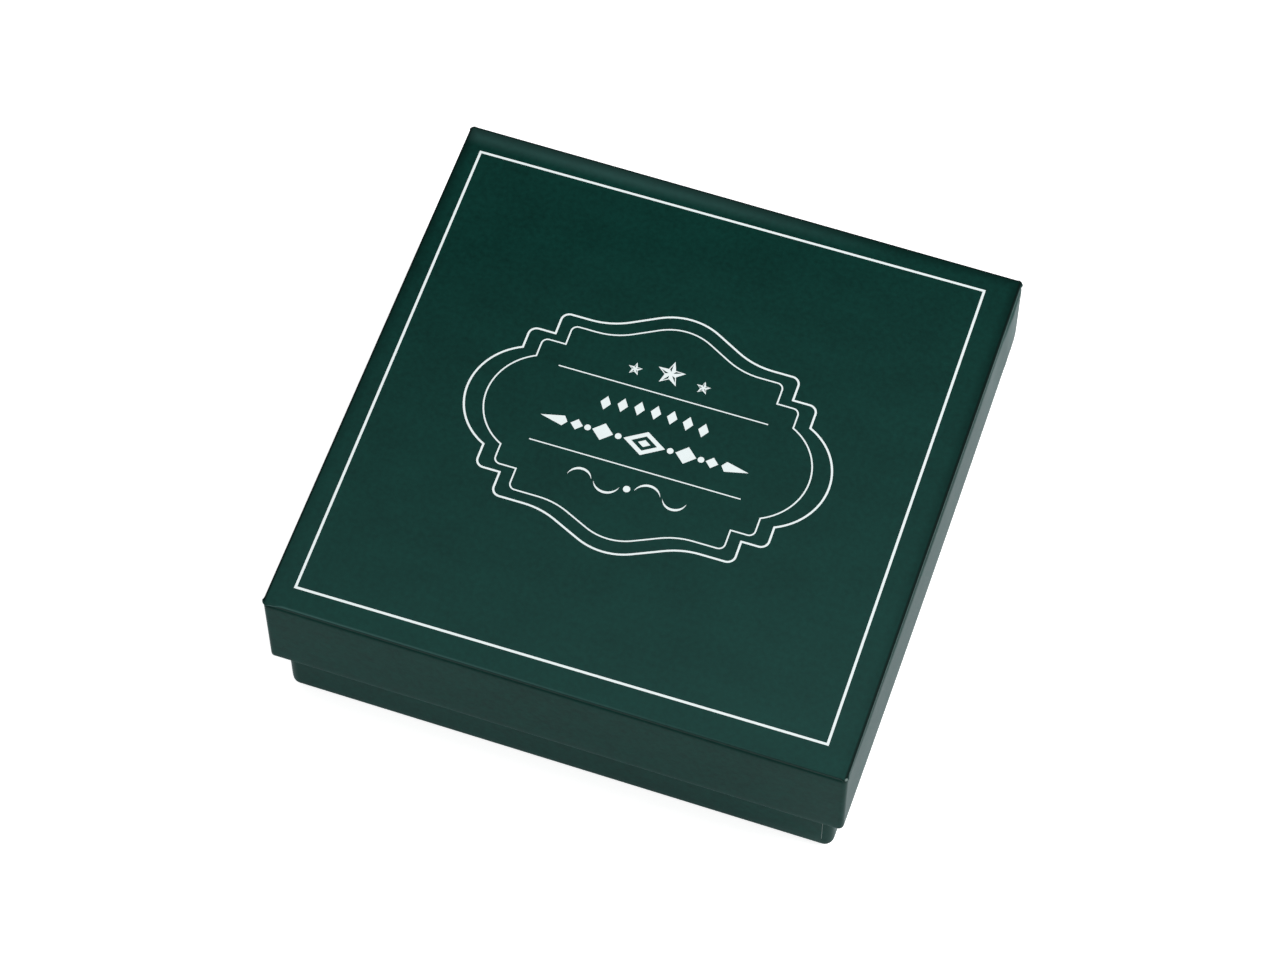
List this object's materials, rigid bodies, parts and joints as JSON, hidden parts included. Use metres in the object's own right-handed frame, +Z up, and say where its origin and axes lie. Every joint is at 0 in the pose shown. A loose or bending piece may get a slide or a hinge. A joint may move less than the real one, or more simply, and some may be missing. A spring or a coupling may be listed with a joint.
{
  "type": "chocolate box",
  "caption": "Square two-piece rigid paper-covered box with a lift-off lid, foil-stamped top, card grid, cushion pad and pralines in fluted cups.",
  "frame": {"origin": "middle of the closed box's footprint, at the surface that it stands on", "axes": "+Z up through the lid, +X to the right and -Y to the front as the lid's ornament reads"},
  "size_m": [0.126, 0.126, 0.0396],
  "materials": {
    "greyboard": "matte",
    "kraft_tape": "matte",
    "green_paper": "satin",
    "lining_paper": "matte",
    "silver_foil": "satin",
    "grid_card": "matte",
    "wadding": "matte",
    "cup_paper": "matte",
    "milk_chocolate": "satin",
    "dark_chocolate": "satin",
    "cocoa_truffle": "matte",
    "white_chocolate": "satin",
    "nut_kernel": "satin"
  },
  "bodies": {
    "base": {"base_board": "greyboard", "base_corner_tapes": "kraft_tape", "base_wrap": "green_paper", "base_lining": "lining_paper", "base_bottom_sheet": "green_paper", "paper_cup_11": "cup_paper", "paper_cup_12": "cup_paper", "paper_cup_13": "cup_paper", "paper_cup_14": "cup_paper", "paper_cup_21": "cup_paper", "paper_cup_22": "cup_paper", "paper_cup_23": "cup_paper", "paper_cup_24": "cup_paper", "paper_cup_31": "cup_paper", "paper_cup_32": "cup_paper", "paper_cup_33": "cup_paper", "paper_cup_34": "cup_paper", "paper_cup_41": "cup_paper", "paper_cup_42": "cup_paper", "paper_cup_43": "cup_paper", "paper_cup_44": "cup_paper", "dome_praline_11": "milk_chocolate", "square_praline_12": "dark_chocolate", "truffle_praline_13": "cocoa_truffle", "rosette_praline_14": "white_chocolate", "square_praline_21": "dark_chocolate", "truffle_praline_22": "cocoa_truffle", "rosette_praline_23": "white_chocolate", "dome_praline_24": "milk_chocolate", "truffle_praline_31": "cocoa_truffle", "rosette_praline_32": "white_chocolate", "dome_praline_33": "milk_chocolate", "square_praline_34": "dark_chocolate", "rosette_praline_41": "white_chocolate", "dome_praline_42": "milk_chocolate", "square_praline_43": "dark_chocolate", "truffle_praline_44": "cocoa_truffle", "praline_nuts": "nut_kernel"},
    "grid": {"divider_across_1": "grid_card", "divider_across_2": "grid_card", "divider_across_3": "grid_card", "divider_deep_1": "grid_card", "divider_deep_2": "grid_card", "divider_deep_3": "grid_card"},
    "pad": {"cushion_pad": "wadding"},
    "lid": {"lid_board": "greyboard", "lid_corner_tapes": "kraft_tape", "lid_wrap": "green_paper", "lid_lining": "lining_paper", "foil_border": "silver_foil", "foil_plaque_outer": "silver_foil", "foil_plaque_inner": "silver_foil", "foil_rules": "silver_foil", "foil_stars": "silver_foil", "foil_small_row": "silver_foil", "foil_main_row": "silver_foil", "foil_flourish": "silver_foil"}
  },
  "joints": [
    {"name": "grid_lift", "type": "slide", "parent": "base", "child": "grid", "axis": [0, 0, 1], "range_m": [0, 0.045]},
    {"name": "pad_lift", "type": "slide", "parent": "grid", "child": "pad", "axis": [0, 0, 1], "range_m": [0, 0.03]},
    {"name": "lid_lift", "type": "slide", "parent": "pad", "child": "lid", "axis": [0, 0, 1], "range_m": [0, 0.06]}
  ]
}
